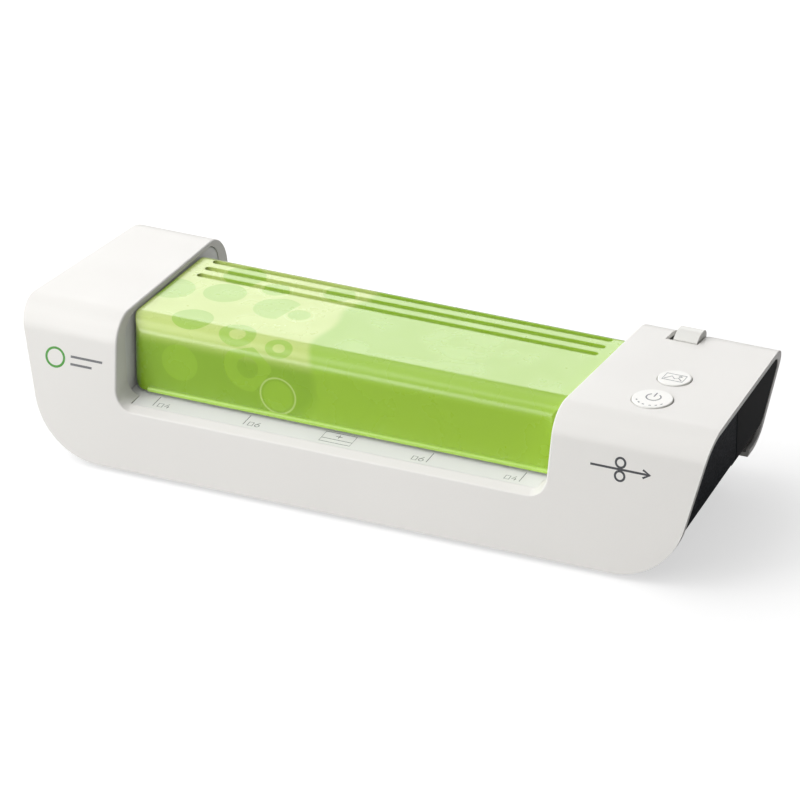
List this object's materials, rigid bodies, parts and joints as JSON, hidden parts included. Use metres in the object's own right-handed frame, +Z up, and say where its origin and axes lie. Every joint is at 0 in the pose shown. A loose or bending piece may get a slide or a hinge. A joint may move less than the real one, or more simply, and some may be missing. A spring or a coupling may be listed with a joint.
{
  "type": "pouch laminator",
  "caption": "Desktop pouch laminator with a wrapped shell, a rounded roller cover with long vent slots, top push buttons and a rear release lever.",
  "frame": {"origin": "on the table under the middle of the machine, at half its width and half its depth", "axes": "+X to the end with the buttons, +Y from the entry slot to the exit, +Z up"},
  "size_m": [0.392, 0.1478, 0.0847],
  "materials": {
    "shell_white": "fine satin moulded ABS",
    "button_white": "satin moulded ABS",
    "lever_white": "satin moulded ABS",
    "cover_green": "glossy printed green ABS",
    "table_grey": "satin light grey ABS",
    "casing_black": "spark-eroded black ABS",
    "foot_rubber": "matt",
    "frame_steel": "zinc plated",
    "shaft_steel": "ground",
    "spring_steel": "drawn wire",
    "screw_steel": "zinc plated",
    "roller_silicone": "smooth silicone",
    "bearing_plastic": "natural nylon",
    "gear_plastic": "natural acetal",
    "shoe_aluminium": "extruded",
    "heater_mica": "mica laminate",
    "motor_zinc": "zinc plated can",
    "thermostat_metal": "pressed cap",
    "board_green": "solder mask",
    "switch_black": "moulded",
    "lamp_clear": "diffused lens",
    "pin_brass": "turned"
  },
  "bodies": {
    "machine_body": {"base_housing": "casing_black", "base_screws": "screw_steel", "board_components": "switch_black", "board_screws": "screw_steel", "circuit_board": "board_green", "drive_motor": "motor_zinc", "entry_table": "table_grey", "exit_table": "table_grey", "frame_screws": "screw_steel", "front_pressure_springs": "spring_steel", "front_upper_blocks": "bearing_plastic", "idler_clip": "shaft_steel", "idler_stud": "shaft_steel", "indicator_lamps": "lamp_clear", "inlet_pins": "pin_brass", "left_cheek": "casing_black", "left_side_frame": "frame_steel", "left_window_wall": "table_grey", "lower_bushes": "bearing_plastic", "lower_heat_shoe": "shoe_aluminium", "lower_heater_strip": "heater_mica", "mains_inlet": "casing_black", "motor_bracket": "frame_steel", "motor_screws": "screw_steel", "outer_shell": "shell_white", "rear_pressure_springs": "spring_steel", "right_cheek": "casing_black", "right_side_frame": "frame_steel", "right_window_wall": "table_grey", "roller_cover": "cover_green", "rubber_feet": "foot_rubber", "tact_switches": "switch_black", "thermal_fuse": "thermostat_metal", "thermostat": "thermostat_metal", "tie_rods": "shaft_steel", "upper_heat_shoe": "shoe_aluminium", "upper_heater_strip": "heater_mica"},
    "power_button": {"power_button": "button_white"},
    "photo_button": {"photo_button": "button_white"},
    "release_lever": {"release_lever": "lever_white", "release_shaft": "shaft_steel"},
    "rear_upper_carriage": {"rear_upper_blocks": "bearing_plastic"},
    "front_lower_roller": {"front_lower_roller": "roller_silicone", "front_lower_shaft": "shaft_steel", "front_lower_gear": "gear_plastic"},
    "front_upper_roller": {"front_upper_roller": "roller_silicone", "front_upper_shaft": "shaft_steel", "front_upper_gear": "gear_plastic"},
    "rear_lower_roller": {"rear_lower_roller": "roller_silicone", "rear_lower_shaft": "shaft_steel", "rear_lower_gear": "gear_plastic"},
    "rear_upper_roller": {"rear_upper_roller": "roller_silicone", "rear_upper_shaft": "shaft_steel", "rear_upper_gear": "gear_plastic"},
    "idler_gear": {"idler_gear": "gear_plastic"},
    "motor_pinion": {"motor_pinion": "gear_plastic", "motor_shaft": "shaft_steel"}
  },
  "joints": [
    {"name": "power_button_press", "type": "slide", "parent": "machine_body", "child": "power_button", "axis": [0, 0, -1], "range_m": [0, 0.0008], "stiffness_N_per_m": 900},
    {"name": "photo_button_press", "type": "slide", "parent": "machine_body", "child": "photo_button", "axis": [0, 0, -1], "range_m": [0, 0.0008], "stiffness_N_per_m": 900},
    {"name": "release_lever_swing", "type": "hinge", "parent": "machine_body", "child": "release_lever", "pos_m": [0.1299, 0.03862, 0.0585], "axis": [-1, 0, 0], "range_deg": [0, 30]},
    {"name": "rear_upper_lift", "type": "slide", "parent": "machine_body", "child": "rear_upper_carriage", "axis": [0, 0, 1], "range_m": [0, 0.0013], "deforming": ["rear_pressure_springs"]},
    {"name": "front_lower_spin", "type": "hinge", "parent": "machine_body", "child": "front_lower_roller", "pos_m": [-0.0153, -0.01788, 0.0268], "axis": [1, 0, 0], "continuous": true},
    {"name": "front_upper_spin", "type": "hinge", "parent": "machine_body", "child": "front_upper_roller", "pos_m": [-0.0153, -0.01788, 0.0512], "axis": [1, 0, 0], "continuous": true},
    {"name": "rear_lower_spin", "type": "hinge", "parent": "machine_body", "child": "rear_lower_roller", "pos_m": [-0.0153, 0.02212, 0.0268], "axis": [1, 0, 0], "continuous": true},
    {"name": "rear_upper_spin", "type": "hinge", "parent": "rear_upper_carriage", "child": "rear_upper_roller", "pos_m": [-0.0153, 0.02212, 0.0512], "axis": [1, 0, 0], "continuous": true},
    {"name": "idler_spin", "type": "hinge", "parent": "machine_body", "child": "idler_gear", "pos_m": [0.1227, 0.00212, 0.02313], "axis": [1, 0, 0], "continuous": true},
    {"name": "pinion_spin", "type": "hinge", "parent": "machine_body", "child": "motor_pinion", "pos_m": [0.1227, -0.03618, 0.0268], "axis": [1, 0, 0], "continuous": true}
  ],
  "couplings": [
    {"joint": "release_lever_swing", "follows": "rear_upper_lift", "rad_per_m": 402.7},
    {"joint": "front_upper_spin", "follows": "front_lower_spin", "ratio": -1},
    {"joint": "rear_lower_spin", "follows": "front_lower_spin", "ratio": 1},
    {"joint": "rear_upper_spin", "follows": "front_lower_spin", "ratio": -1},
    {"joint": "idler_spin", "follows": "front_lower_spin", "ratio": -1.5},
    {"joint": "pinion_spin", "follows": "front_lower_spin", "ratio": -2}
  ]
}
